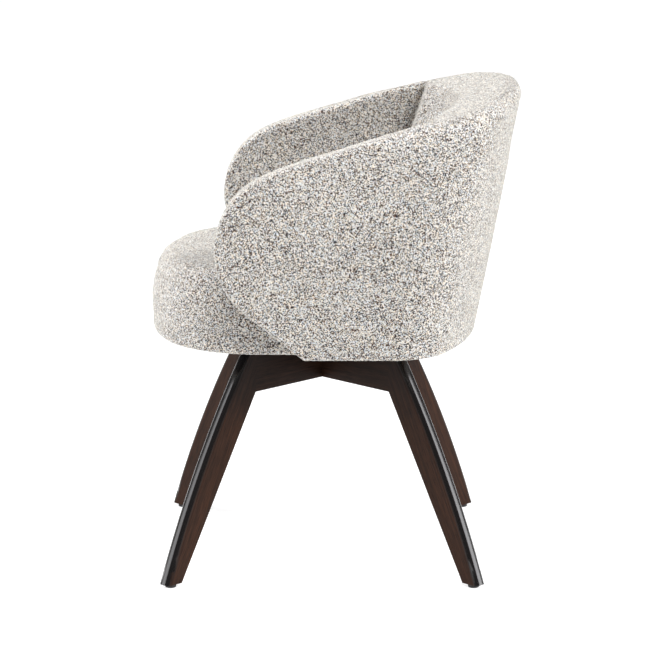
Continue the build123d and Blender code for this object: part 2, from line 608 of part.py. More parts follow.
def shell_rear_at(level):
    """Rear reach of the wall's outer face at a level, along its lower lean."""
    lower, middle = shell_levels[0], shell_levels[1]
    lean = (middle[2] - lower[2]) / (middle[0] - lower[0])
    return lower[2] + lean * (level - lower[0])


seat_rear_radius = SHELL_REAR_RADIUS - WALL - PAD_DEPTH - SEAT_BACK_GAP


def seat_rear_reach(level):
    """Reach of the cushion from its centre to a small gap before the pad, at a level."""
    return shell_rear_at(level) - WALL - PAD_DEPTH - SEAT_BACK_GAP - SEAT_CENTRE


belly_reach = seat_rear_reach(SEAT_BOTTOM + SEAT_BELLY_HEIGHT)
seat_rear_corner = corner_radius(SEAT_HALF_WIDTH, belly_reach, seat_rear_radius, SEAT_SIDE_REAR)


def seat_section(height, inset):
    """Plan of the cushion at a height above its lower edge, drawn in by an inset."""
    level = SEAT_BOTTOM + height
    scale = 1 - inset / SEAT_HALF_WIDTH
    front_end = [size * scale for size in seat_front_end]
    rear_end = [seat_rear_reach(level) - inset, seat_rear_radius * scale, seat_rear_corner * scale]
    return Pos(0, 0, level) * seat_plan(SEAT_HALF_WIDTH - inset, front_end, rear_end)


seat_sections = []
for turn in (0, 45, 90):
    tuck = math.radians(turn)
    tuck_height = SEAT_BELLY_HEIGHT * (1 - math.cos(tuck))
    seat_sections.append(seat_section(tuck_height, SEAT_EDGE_TUCK * (1 - math.sin(tuck))))
seat_sections.append(seat_section(SEAT_SEAM_HEIGHT, SEAT_SEAM_INSET))
seat_sections.append(seat_section(SEAT_HEIGHT, SEAT_TOP_INSET))
crown_centre = Pos(0, SEAT_CENTRE, SEAT_BOTTOM + SEAT_HEIGHT - SEAT_CROWN_RADIUS)
cushion = loft(seat_sections) & crown_centre * Sphere(SEAT_CROWN_RADIUS)
crown_face = cushion.faces().filter_by(GeomType.SPHERE)[0]
cushion = fillet(crown_face.edges(), SEAT_SHOULDER)
pocket_depth = SEAT_SKIRT + BOARD_THICKNESS + SOFT_GAP
board_pocket = Pos(0, 0, SEAT_BOTTOM) * extrude(board_plan(SOFT_GAP), pocket_depth)
nodes["seat_cushion"] = cushion - board_pocket - bolt_holes

# Dust cover: thin black cloth under the board, cut away round the swivel plate
dust_cover = Pos(0, 0, BOARD_BOTTOM - DUST_COVER_THICKNESS) * extrude(
    board_plan(-DUST_COVER_INSET), DUST_COVER_THICKNESS
)
plate_window = PLATE_SIDE + 2 * DUST_COVER_MARGIN
nodes["dust_cover"] = dust_cover - Pos(0, 0, BOARD_BOTTOM) * Box(plate_window, plate_window, BOARD_THICKNESS)

os.makedirs("parts", exist_ok=True)
origin = Pos(0, (SEAT_FRONT - BACK_REACH) / 2, 0)
for name, piece in nodes.items():
    export_step(origin * piece, "parts/" + name + ".step")
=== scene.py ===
import math
import bpy
import numpy as np
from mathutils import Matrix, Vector


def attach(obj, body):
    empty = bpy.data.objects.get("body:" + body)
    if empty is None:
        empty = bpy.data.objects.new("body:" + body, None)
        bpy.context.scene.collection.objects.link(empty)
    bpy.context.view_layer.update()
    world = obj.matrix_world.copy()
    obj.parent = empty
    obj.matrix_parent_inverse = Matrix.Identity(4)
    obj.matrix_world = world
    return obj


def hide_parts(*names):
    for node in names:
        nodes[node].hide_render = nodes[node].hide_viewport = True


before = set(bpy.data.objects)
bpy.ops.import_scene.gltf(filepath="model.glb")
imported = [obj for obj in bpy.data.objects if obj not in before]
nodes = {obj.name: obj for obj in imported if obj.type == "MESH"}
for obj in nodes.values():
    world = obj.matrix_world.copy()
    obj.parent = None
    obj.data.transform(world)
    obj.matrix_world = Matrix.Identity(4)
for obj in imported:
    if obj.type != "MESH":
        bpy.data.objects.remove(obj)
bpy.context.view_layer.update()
scene = bpy.context.scene

# Legs and cross rails: solid hardwood boards, stained dark brown and lacquered to a satin gloss, with
# the grain along each board. Painted shade darkens the stain up under the seat, for the seat's shadow. The
# rounded outer edges are glossier and painted nearly black as painted shade for the dark surroundings they
# reflect, with filled pores and a slight crown that draws their reflection into a streak.
AXIS_SHIFT = -0.0207
LEG_ANGLES = {"front_left": -45, "front_right": -135, "rear_left": 45, "rear_right": 135}
LEG_TILT = 26.2
RAIL_ANGLES = {"lower": 45, "upper": -45}
RAIL_TILT = 90
PORE_WIDTH = 0.0007
PORE_DEPTH = 0.0004
PORE_RELIEF = (0.12, 0.0)
PORE_TINT = [(0.36, "#a8a09c"), (0.52, "#ffffff")]
GRAIN_BAND = 0.004
GRAIN_STRETCH = 0.03
LOW_STAIN = [(0.25, "#26150c"), (0.5, "#321d11"), (0.75, "#3e2517")]
# Painted shade: the darker stain below stands in for the seat's shadow on the rails and leg tops, and the
# heights after it are where that painted shade comes in.
PAINTED_SEAT_SHADE = [(0.25, "#170d08"), (0.5, "#1f120c"), (0.75, "#28180f")]
PAINTED_SHADE_HEIGHTS = (0.24, 0.34)
EDGE_START = (0.15, 0.6)
# Painted shade: the near-black edge colour stands in for the dark surroundings that the glossy rounded
# edges reflect.
EDGE_PAINTED_SHADE = "#0b0808"
EDGE_CROWN = 13.0
FACE_AND_EDGE = {"Roughness": (0.5, 0.2), "Specular IOR Level": (0.12, 0.6)}


def linear(hex_colour):
    """Linear colour of an sRGB hex value."""
    parts = [int(hex_colour[i:i + 2], 16) / 255 for i in (1, 3, 5)]
    return [c / 12.92 if c <= 0.04045 else ((c + 0.055) / 1.055) ** 2.4 for c in parts] + [1.0]


def add_node(tree, kind, inputs=None, **settings):
    """Adds a node with its settings. Each input is a value or another node's output."""
    made = tree.nodes.new(kind)
    for name, value in settings.items():
        setattr(made, name, value)
    for key, value in (inputs or {}).items():
        if isinstance(value, bpy.types.NodeSocket):
            tree.links.new(value, made.inputs[key])
        else:
            made.inputs[key].default_value = value
    return made


def start_material(name, surface):
    """New material with one surface shader, its node tree and its Object coordinates."""
    material = bpy.data.materials.new(name)
    material.use_nodes = True
    tree = material.node_tree
    tree.nodes.clear()
    shader = add_node(tree, "ShaderNodeBsdfPrincipled", surface)
    add_node(tree, "ShaderNodeOutputMaterial", {"Surface": shader.outputs[0]})
    place = add_node(tree, "ShaderNodeTexCoord").outputs["Object"]
    return material, tree, shader, place


def set_stops(ramp, stops):
    """Colours of a ramp from pairs of place and hex value."""
    elements = ramp.color_ramp.elements
    while len(elements) < len(stops):
        elements.new(0.5)
    for element, (spot, colour) in zip(elements, stops):
        element.position = spot
        element.color = linear(colour)


def dress(material, *names):
    """Gives CAD nodes a material."""
    for name in names:
        slots = nodes[name].data.materials
        slots.clear()
        slots.append(material)


def stained_wood(name, turn, tilt):
    """Stained, lacquered hardwood grained along one board, with painted shade deepening it higher up and
    glossier outer edges painted near black as painted shade.
    """
    material, tree, shader, place = start_material(name, {})
    turned = add_node(tree, "ShaderNodeMapping", {"Vector": place, "Rotation": (0, 0, -turn)})
    stood = add_node(tree, "ShaderNodeMapping", {"Vector": turned.outputs[0], "Rotation": (0, tilt, 0)})
    along = add_node(
        tree, "ShaderNodeMapping", {"Vector": stood.outputs[0], "Scale": (1, 1, GRAIN_STRETCH)}
    )
    bands = add_node(
        tree, "ShaderNodeTexNoise", {"Vector": along.outputs[0], "Scale": 1 / GRAIN_BAND, "Detail": 4.0}
    )
    pores = add_node(
        tree, "ShaderNodeTexNoise", {"Vector": along.outputs[0], "Scale": 1 / PORE_WIDTH, "Detail": 2.0}
    )
    low_stain = add_node(tree, "ShaderNodeValToRGB", {"Fac": bands.outputs[0]})
    set_stops(low_stain, LOW_STAIN)
    painted_seat_shade = add_node(tree, "ShaderNodeValToRGB", {"Fac": bands.outputs[0]})
    set_stops(painted_seat_shade, PAINTED_SEAT_SHADE)
    # Painted shade: the stain darkens with height towards the seat, standing in for the shadow the seat
    # casts.
    height = add_node(tree, "ShaderNodeSeparateXYZ", {"Vector": place}).outputs["Z"]
    start, end = PAINTED_SHADE_HEIGHTS
    painted_shade_share = add_node(tree, "ShaderNodeMapRange", {"Value": height, "From Min": start, "From Max": end})
    stain_and_painted_shade = add_node(
        tree,
        "ShaderNodeMix",
        {0: painted_shade_share.outputs[0], 6: low_stain.outputs[0], 7: painted_seat_shade.outputs[0]},
        data_type="RGBA",
    )
    pits = add_node(tree, "ShaderNodeValToRGB", {"Fac": pores.outputs[0]})
    set_stops(pits, PORE_TINT)
    pored = add_node(
        tree,
        "ShaderNodeMix",
        {0: 1.0, 6: stain_and_painted_shade.outputs[2], 7: pits.outputs[0]},
        data_type="RGBA",
        blend_type="MULTIPLY",
    )
    facing = add_node(tree, "ShaderNodeTexCoord").outputs["Normal"]
    outwards = (math.cos(turn), math.sin(turn), 0)
    edge = add_node(tree, "ShaderNodeVectorMath", {0: facing, 1: outwards}, operation="DOT_PRODUCT")
    start, end = EDGE_START
    rounded = add_node(
        tree, "ShaderNodeMapRange", {"Value": edge.outputs["Value"], "From Min": start, "From Max": end}
    )
    # Painted shade: the rounded outer edges turn near black, standing in for the dark surroundings they
    # reflect.
    tone = add_node(
        tree,
        "ShaderNodeMix",
        {0: rounded.outputs[0], 6: pored.outputs[2], 7: linear(EDGE_PAINTED_SHADE)},
        data_type="RGBA",
    )
    tree.links.new(tone.outputs[2], shader.inputs["Base Color"])
    for socket, (face, rim) in FACE_AND_EDGE.items():
        finish = add_node(
            tree, "ShaderNodeMapRange", {"Value": rounded.outputs[0], "To Min": face, "To Max": rim}
        )
        tree.links.new(finish.outputs[0], shader.inputs[socket])
    face, rim = PORE_RELIEF
    open_pores = add_node(
        tree, "ShaderNodeMapRange", {"Value": rounded.outputs[0], "To Min": face, "To Max": rim}
    )
    sideways = (-math.sin(turn), math.cos(turn), 0)
    across = add_node(tree, "ShaderNodeVectorMath", {0: place, 1: sideways}, operation="DOT_PRODUCT")
    plane = AXIS_SHIFT * math.cos(turn)
    aside = add_node(tree, "ShaderNodeMath", {0: across.outputs["Value"], 1: plane}, operation="SUBTRACT")
    square = add_node(
        tree, "ShaderNodeMath", {0: aside.outputs[0], 1: aside.outputs[0]}, operation="MULTIPLY"
    )
    fall = add_node(tree, "ShaderNodeMath", {0: square.outputs[0], 1: -EDGE_CROWN}, operation="MULTIPLY")
    crown = add_node(
        tree,
        "ShaderNodeBump",
        {"Height": fall.outputs[0], "Strength": rounded.outputs[0], "Distance": 1.0},
    )
    relief = add_node(
        tree,
        "ShaderNodeBump",
        {
            "Height": pores.outputs[0],
            "Strength": open_pores.outputs[0],
            "Distance": PORE_DEPTH,
            "Normal": crown.outputs[0],
        },
    )
    tree.links.new(relief.outputs[0], shader.inputs["Normal"])
    return material


for spot, angle in LEG_ANGLES.items():
    leg_wood = stained_wood("stained_wood_" + spot, math.radians(angle), math.radians(LEG_TILT))
    dress(leg_wood, "leg_" + spot)
for spot, angle in RAIL_ANGLES.items():
    rail_wood = stained_wood("stained_wood_rail_" + spot, math.radians(angle), math.radians(RAIL_TILT))
    dress(rail_wood, "cross_rail_" + spot)

# Dowels: turned beech pins glued into legs and rails, hidden in the joints.
# Beech is pale and matt, with flecks about a millimetre across.
BEECH_FLECK = 0.0011


def mottle(tree, shader, place, size, detail, stops):
    """Tones a surface in random patches of the given size and returns their height."""
    patches = add_node(tree, "ShaderNodeTexNoise", {"Vector": place, "Scale": 1 / size, "Detail": detail})
    tint = add_node(tree, "ShaderNodeValToRGB", {"Fac": patches.outputs[0]})
    set_stops(tint, stops)
    tree.links.new(tint.outputs[0], shader.inputs["Base Color"])
    return patches.outputs[0]


beech, tree, shader, place = start_material("dowel_beech", {"Roughness": 0.7})
mottle(tree, shader, place, BEECH_FLECK, 3.0, [(0.35, "#b98d62"), (0.65, "#d9b58a")])
dress(beech, "leg_dowels")

# Glides: hard black polyethylene discs nailed under the feet.
# Moulded with a fine matt texture, scuffed a little lighter where they slide.
SCUFF_SIZE = 0.0024
SCUFF_DEPTH = 0.0003
glide_black, tree, shader, place = start_material("glide_polyethylene", {"Roughness": 0.55, "IOR": 1.51})
scuffs = mottle(tree, shader, place, SCUFF_SIZE, 5.0, [(0.4, "#151414"), (0.7, "#2c2a29")])
texture = add_node(tree, "ShaderNodeBump", {"Height": scuffs, "Strength": 0.2, "Distance": SCUFF_DEPTH})
tree.links.new(texture.outputs[0], shader.inputs["Normal"])
dress(glide_black, "glide_front_left", "glide_front_right", "glide_rear_left", "glide_rear_right")

# Swivel, screws and bolts: pressed plates painted black, zinc-plated fixings and hub, and polished balls
# in a nylon cage. The paint is satin with a slight orange peel, the plating is cloudy and half matt, the
# ground steel of the balls is a mirror and the moulded nylon is hazy.
ZINC_CLOUD = 0.006
BALL_CLOUD = 0.003
PEEL_SIZE = 0.002
PEEL_DEPTH = 0.0003
NYLON_HAZE = 0.0033


def plain_steel(name, roughness, cloud, dark, light):
    """Bare or plated metal whose tone drifts in clouds of the given size."""
    material, tree, shader, place = start_material(name, {"Metallic": 1.0, "Roughness": roughness})
    mottle(tree, shader, place, cloud, 4.0, [(0.35, dark), (0.65, light)])
    return material


zinc = plain_steel("zinc_plated_steel", 0.36, ZINC_CLOUD, dark="#8f9496", light="#c4c8c9")
dress(zinc, "glide_nails", "lower_plate_screws", "upper_plate_bolts", "tee_nuts")
dress(zinc, "shell_bolts", "barrel_nuts", "swivel_stop_pins", "swivel_stop_peg")
dress(zinc, "swivel_hub", "hub_washer", "hub_clip")
ball_steel = plain_steel("ground_ball_steel", 0.08, BALL_CLOUD, dark="#b4b6b8", light="#c6c8ca")
dress(ball_steel, "bearing_balls")
surface = {"Roughness": 0.38, "Specular IOR Level": 0.4}
black_paint, tree, shader, place = start_material("black_painted_steel", surface)
peel = mottle(tree, shader, place, PEEL_SIZE, 2.0, [(0.35, "#131314"), (0.65, "#202021")])
texture = add_node(tree, "ShaderNodeBump", {"Height": peel, "Strength": 0.15, "Distance": PEEL_DEPTH})
tree.links.new(texture.outputs[0], shader.inputs["Normal"])
dress(black_paint, "swivel_lower_plate", "swivel_upper_plate")
nylon, tree, shader, place = start_material("cage_nylon", {"Roughness": 0.48, "IOR": 1.53})
mottle(tree, shader, place, NYLON_HAZE, 2.0, [(0.35, "#cfcabb"), (0.65, "#e2decf")])
dress(nylon, "ball_cage")

# Seat board and shell frame: birch plywood, flat under the cushion and moulded inside the wall.
# Cut edges show plies of about 1.4 mm, light and dark in turn. A wave of scale 1 repeats every pi / 10.
PLY_THICKNESS = 0.0014
WAVE_REPEAT = math.pi / 10
birch, tree, shader, place = start_material("birch_plywood", {"Roughness": 0.65})
plies = add_node(
    tree,
    "ShaderNodeTexWave",
    {"Vector": place, "Scale": WAVE_REPEAT / PLY_THICKNESS / 2, "Distortion": 0.6, "Detail": 1.0},
    bands_direction="Z",
)
tint = add_node(tree, "ShaderNodeValToRGB", {"Fac": plies.outputs[1]})
set_stops(tint, [(0.3, "#b58f62"), (0.7, "#dcc097")])
tree.links.new(tint.outputs[0], shader.inputs["Base Color"])
dress(birch, "seat_board", "shell_frame")

# Cover of wall and seat: boucle of looped wool-blend yarn, ivory with charcoal, brown and taupe specks.
# The loops are a few millimetres across and rise nearly 1 mm, so edges look fuzzy and grazing light
# brightens the cloth. Each speck of yarn is drawn at random, first its tone and then its tint.
LOOP_SIZE = 0.0040
LOOP_HEIGHT = 0.0009
SPECK_SIZE = 0.0013
STRAY_SIZE = 0.003125
STRAY_REACH = 0.0025
HAIR_SIZE = 0.000833
HAIR_DEPTH = 0.0008
YARN_TONES = [
    (0.0, "#090d18"),
    (0.2, "#101828"),
    (0.22, "#3c210e"),
    (0.33, "#5c381b"),
    (0.36, "#6d6763"),
    (0.45, "#98958f"),
    (0.49, "#cccac4"),
    (1.0, "#efede7"),
]
YARN_TINTS = [(0.0, "#fff1de"), (1.0, "#e2efff")]
surface = {
    "Roughness": 0.95,
    "Specular IOR Level": 0.15,
    "Sheen Weight": 0.5,
    "Sheen Roughness": 0.45,
    "Sheen Tint": linear("#fbf9f0"),
}
boucle, tree, shader, place = start_material("boucle_wool", surface)
stray = add_node(tree, "ShaderNodeTexNoise", {"Vector": place, "Scale": 1 / STRAY_SIZE, "Detail": 2.0})
either_way = add_node(
    tree, "ShaderNodeVectorMath", {0: stray.outputs["Color"], 1: (0.5, 0.5, 0.5)}, operation="SUBTRACT"
)
push = add_node(
    tree, "ShaderNodeVectorMath", {0: either_way.outputs[0], "Scale": STRAY_REACH}, operation="SCALE"
)
strayed = add_node(tree, "ShaderNodeVectorMath", {0: place, 1: push.outputs[0]}, operation="ADD")
specks = add_node(
    tree, "ShaderNodeTexVoronoi", {"Vector": strayed.outputs[0], "Scale": 1 / SPECK_SIZE, "Randomness": 1.0}
)
draw = add_node(tree, "ShaderNodeSeparateColor", {"Color": specks.outputs["Color"]})
yarn = add_node(tree, "ShaderNodeValToRGB", {"Fac": draw.outputs[0]})
set_stops(yarn, YARN_TONES)
dye = add_node(tree, "ShaderNodeValToRGB", {"Fac": draw.outputs[1]})
set_stops(dye, YARN_TINTS)
cloth = add_node(
    tree,
    "ShaderNodeMix",
    {0: 1.0, 6: yarn.outputs[0], 7: dye.outputs[0]},
    data_type="RGBA",
    blend_type="MULTIPLY",
)
hairs = add_node(tree, "ShaderNodeTexNoise", {"Vector": place, "Scale": 1 / HAIR_SIZE, "Detail": 3.0})
relief = add_node(
    tree, "ShaderNodeMath", {0: hairs.outputs[0], 1: specks.outputs["Distance"]}, operation="SUBTRACT"
)
fuzz = add_node(
    tree, "ShaderNodeBump", {"Height": relief.outputs[0], "Strength": 0.5, "Distance": HAIR_DEPTH}
)
tree.links.new(cloth.outputs[2], shader.inputs["Base Color"])
tree.links.new(fuzz.outputs[0], shader.inputs["Normal"])

nap = bpy.data.node_groups.new("boucle_nap", "GeometryNodeTree")
nap.interface.new_socket("Cloth", in_out="INPUT", socket_type="NodeSocketGeometry")
size_socket = nap.interface.new_socket("Loop size", in_out="INPUT", socket_type="NodeSocketFloat")
height_socket = nap.interface.new_socket("Loop height", in_out="INPUT", socket_type="NodeSocketFloat")
nap.interface.new_socket("Cloth", in_out="OUTPUT", socket_type="NodeSocketGeometry")
given = add_node(nap, "NodeGroupInput")
spacing = add_node(nap, "ShaderNodeMath", {0: 1.0, 1: given.outputs["Loop size"]}, operation="DIVIDE")
position = add_node(nap, "GeometryNodeInputPosition")
loops = add_node(
    nap, "ShaderNodeTexVoronoi", {"Vector": position.outputs[0], "Scale": spacing.outputs[0]}, feature="F1"
)
crown = add_node(nap, "ShaderNodeMath", {0: 0.5, 1: loops.outputs["Distance"]}, operation="SUBTRACT")
lift = add_node(
    nap, "ShaderNodeMath", {0: crown.outputs[0], 1: given.outputs["Loop height"]}, operation="MULTIPLY"
)
normal = add_node(nap, "GeometryNodeInputNormal")
offset = add_node(
    nap, "ShaderNodeVectorMath", {0: normal.outputs[0], "Scale": lift.outputs[0]}, operation="SCALE"
)
raised = add_node(
    nap, "GeometryNodeSetPosition", {"Geometry": given.outputs["Cloth"], "Offset": offset.outputs[0]}
)
smooth = add_node(nap, "GeometryNodeSetShadeSmooth", {"Geometry": raised.outputs[0]})
real = add_node(nap, "GeometryNodeRealizeInstances", {"Geometry": smooth.outputs[0]})
clad = add_node(nap, "GeometryNodeSetMaterial", {"Geometry": real.outputs[0], "Material": boucle})
add_node(nap, "NodeGroupOutput", {"Cloth": clad.outputs[0]})


def raise_nap(piece):
    """Raises the loops of the cover on a finished soft shape and keeps the result as its mesh."""
    modifier = piece.modifiers.new("nap", "NODES")
    modifier.node_group = nap
    modifier[size_socket.identifier] = LOOP_SIZE
    modifier[height_socket.identifier] = LOOP_HEIGHT
    shown = piece.evaluated_get(bpy.context.evaluated_depsgraph_get())
    napped = bpy.data.meshes.new_from_object(shown)
    piece.modifiers.clear()
    piece.data = napped


# Wall: moulded foam over the plywood shell, in one tight cover that makes both arms, the back and the
# pad of the inside back. Its outer edge has a slightly raised seam on the arms and widens into a roll on
# the back, and an upright crease marks where the pad meets each arm. Sizes in millimetres.
WALL_STEP = 2.6
WALL_SPACE = ((-300.0, -176.0, 380.0), (300.0, 332.0, 812.0))
WALL_THICKNESS = 40.0
WALL_BOTTOM = 380.0
WALL_LEVELS = (376.0, 590.0, 811.0)
WALL_HALF_WIDTHS = (280.0, 282.0, 246.0)
WALL_REARS = (249.0, 291.0, 331.0)
WALL_REAR_RADIUS = 500.0
WALL_CORNER = 100.0
LEAST_EDGE = 0.5
FOOT_EDGE = 4.0
FOOT_EDGE_RISE = (10.0, 40.0)
ARM_EDGE = 8.0
BACK_EDGE = 34.0
BACK_EDGE_RUN = (60.0, 150.0)
BACK_EDGE_RISE = (600.0, 700.0)
BACK_TOP = 787.0
BACK_REACH = 324.0
BACK_ROLL = 22.0
BACK_SLOPE = 24.0
NOSE_CENTRE = (-43.0, 554.0)
NOSE_RADIUS = 126.0
ARM_TOE = (-28.6, 380.0)
ARM_SLOPE = 25.0
ARM_TOP = [(48.0, 716.5), (150.0, 746.5), (217.0, 761.0)]
PAD_DEPTH = 62.0
PAD_END = 26.0
PAD_CORNER = 80.0
PAD_EDGE = 5.0
PAD_BOTTOM = 399.5
CREASE_PLACE = (160.0, 705.0)
CREASE_LEAN = math.radians(18)
CREASE_WIDTH = 3.2
CREASE_DEPTH = 4.5
RAISED_SEAM_INSET = 4.5
RAISED_SEAM_WIDTH = 3.2
RAISED_SEAM_HEIGHT = 2.0
RAISED_SEAM_RISE = (5.0, 25.0)
NEARLY_ZERO = 1e-6


def through_levels(height, sizes):
    """Smooth curve through the sizes at the wall's three levels."""
    low, middle, high = WALL_LEVELS
    first = (height - middle) * (height - high) / (low - middle) / (low - high)
    second = (height - low) * (height - high) / (middle - low) / (middle - high)
    third = (height - low) * (height - middle) / (high - low) / (high - middle)
    return first * sizes[0] + second * sizes[1] + third * sizes[2]


def plan_distance(across, along, half, rear, rear_radius, corner):
    """Distance outside a plan with straight sides and a rounded rear, and how far it faces rearwards."""
    side = np.abs(across)
    centre = rear - rear_radius
    corner_x = half - corner
    reach = np.sqrt((rear_radius - corner) ** 2 - corner_x**2)
    corner_y = centre + reach
    from_centre = np.hypot(side, along - centre)
    from_corner = np.hypot(side - corner_x, along - corner_y)
    in_rear = corner_x * (along - centre) - reach * side > 0
    curved = np.where(in_rear, from_centre - rear_radius, from_corner - corner)
    rear_facing = (along - centre) / (from_centre + NEARLY_ZERO)
    corner_facing = (along - corner_y) / (from_corner + NEARLY_ZERO)
    facing = np.where(in_rear, rear_facing, corner_facing)
    straight = along < corner_y
    return np.where(straight, side - half, curved), np.where(straight, 0, facing)


def outline_distance(outline, first, second):
    """Distance outside a closed outline of points, negative inside it."""
    nearest = np.full(np.broadcast(first, second).shape, np.inf)
    inside = np.zeros(nearest.shape, bool)
    for (a, b), (c, d) in zip(outline, outline[1:] + outline[:1]):
        run, rise = c - a, d - b
        share = np.clip(((first - a) * run + (second - b) * rise) / (run * run + rise * rise), 0, 1)
        nearest = np.minimum(nearest, np.hypot(first - a - share * run, second - b - share * rise))
        if rise:
            crosses = (b > second) != (d > second)
            inside ^= crosses & (first < a + (second - b) * run / rise)
    return np.where(inside, -nearest, nearest)


def rounded_meet(distances, radius):
    """Common space of several shapes, with its edges rounded."""
    raised = [distance + radius for distance in distances]
    outside = np.sqrt(sum(np.maximum(one, 0) ** 2 for one in raised))
    deepest = raised[0]
    for one in raised[1:]:
        deepest = np.maximum(deepest, one)
    return np.minimum(deepest, 0) + outside - radius


def smooth_share(value, start, end):
    """Share from 0 to 1 that eases in and out between two values."""
    share = np.clip((value - start) / (end - start), 0, 1)
    return share * share * (3 - 2 * share)


def curve_through(points, first_slope, last_slope, steps):
    """Points along a smooth curve through the given points with the given end directions."""
    given = np.array(points, float)
    lengths = np.linalg.norm(np.diff(given, axis=0), axis=1)
    slopes = [np.array(first_slope, float)]
    for before, after in zip(given[:-2], given[2:]):
        slopes.append((after - before) / np.linalg.norm(after - before))
    slopes.append(np.array(last_slope, float))
    made = []
    for i, length in enumerate(lengths):
        for t in np.arange(steps) / steps:
            start = (2 * t**3 - 3 * t**2 + 1) * given[i] + (t**3 - 2 * t**2 + t) * length * slopes[i]
            end = (3 * t**2 - 2 * t**3) * given[i + 1] + (t**3 - t**2) * length * slopes[i + 1]
            made.append(tuple(start + end))
    return made + [tuple(given[-1])]


def arc_points(centre, radius, start, end, steps):
    """Points along an arc between two angles."""
    turns = np.linspace(start, end, steps)
    return [(centre[0] + radius * math.cos(turn), centre[1] + radius * math.sin(turn)) for turn in turns]


def heading(degrees):
    """Unit direction at an angle above level."""
    return math.cos(math.radians(degrees)), math.sin(math.radians(degrees))


to_toe = (ARM_TOE[0] - NOSE_CENTRE[0], ARM_TOE[1] - NOSE_CENTRE[1])
nose_low = math.atan2(to_toe[1], to_toe[0]) - math.acos(NOSE_RADIUS / math.hypot(*to_toe))
nose = arc_points(NOSE_CENTRE, NOSE_RADIUS, nose_low, math.radians(ARM_SLOPE - 270), steps=40)
roll_centre = (BACK_REACH - BACK_ROLL, BACK_TOP - BACK_ROLL)
back_roll = arc_points(roll_centre, BACK_ROLL, math.radians(90 + BACK_SLOPE), 0.0, steps=16)
top_points = [nose[-1]] + ARM_TOP + [back_roll[0]]
arm_top = curve_through(top_points, heading(ARM_SLOPE), heading(BACK_SLOPE), steps=12)
side_outline = [ARM_TOE] + nose + arm_top[1:-1] + back_roll + [(BACK_REACH, WALL_BOTTOM)]


def wall_field(x, y, z):
    """Distance outside the wall and its inside-back pad, negative inside them."""
    half = through_levels(z, WALL_HALF_WIDTHS)
    rear = through_levels(z, WALL_REARS)
    outer, facing = plan_distance(x, y, half, rear, WALL_REAR_RADIUS, WALL_CORNER)
    side = outline_distance(side_outline, y, z)
    edge = FOOT_EDGE + (ARM_EDGE - FOOT_EDGE) * smooth_share(z - WALL_BOTTOM, *FOOT_EDGE_RISE)
    wide = smooth_share(y, *BACK_EDGE_RUN) * smooth_share(z, *BACK_EDGE_RISE)
    alike = np.clip((y - roll_centre[0]) / BACK_ROLL, 0, 1) * np.clip(facing, 0, 1)
    roll = np.maximum((edge + (BACK_EDGE - ARM_EDGE) * wide) * (1 - alike), LEAST_EDGE)
    rolled = rounded_meet([outer, side], roll)
    shell = rounded_meet([rolled, -outer - WALL_THICKNESS], edge)
    on_face = smooth_share(outer, -WALL_THICKNESS / 2, -WALL_THICKNESS / 4) * (1 - wide)
    on_face = on_face * smooth_share(z - WALL_BOTTOM, *RAISED_SEAM_RISE)
    raised_seam = np.exp(-(((side + RAISED_SEAM_INSET) / RAISED_SEAM_WIDTH) ** 2))
    shell = shell - RAISED_SEAM_HEIGHT * on_face * raised_seam
    lean = (y - CREASE_PLACE[0]) * math.cos(CREASE_LEAN) - (z - CREASE_PLACE[1]) * math.sin(CREASE_LEAN)
    inner_half = half - WALL_THICKNESS - PAD_END
    inner_rear = rear - WALL_THICKNESS - PAD_DEPTH
    inner_radius = WALL_REAR_RADIUS - WALL_THICKNESS - PAD_DEPTH
    hollow, _ = plan_distance(x, y, inner_half, inner_rear, inner_radius, PAD_CORNER)
    pad = rounded_meet([rolled, -hollow, -lean], PAD_EDGE)
    inwards = smooth_share(-outer, WALL_THICKNESS / 2, WALL_THICKNESS)
    crease = CREASE_DEPTH * inwards * np.exp(-((lean / CREASE_WIDTH) ** 2))
    return np.minimum(shell, np.maximum(pad, PAD_BOTTOM - z)) + crease


NUDGE = 0.2
LEAST_SLOPE = 0.3
SETTLE_ROUNDS = 2


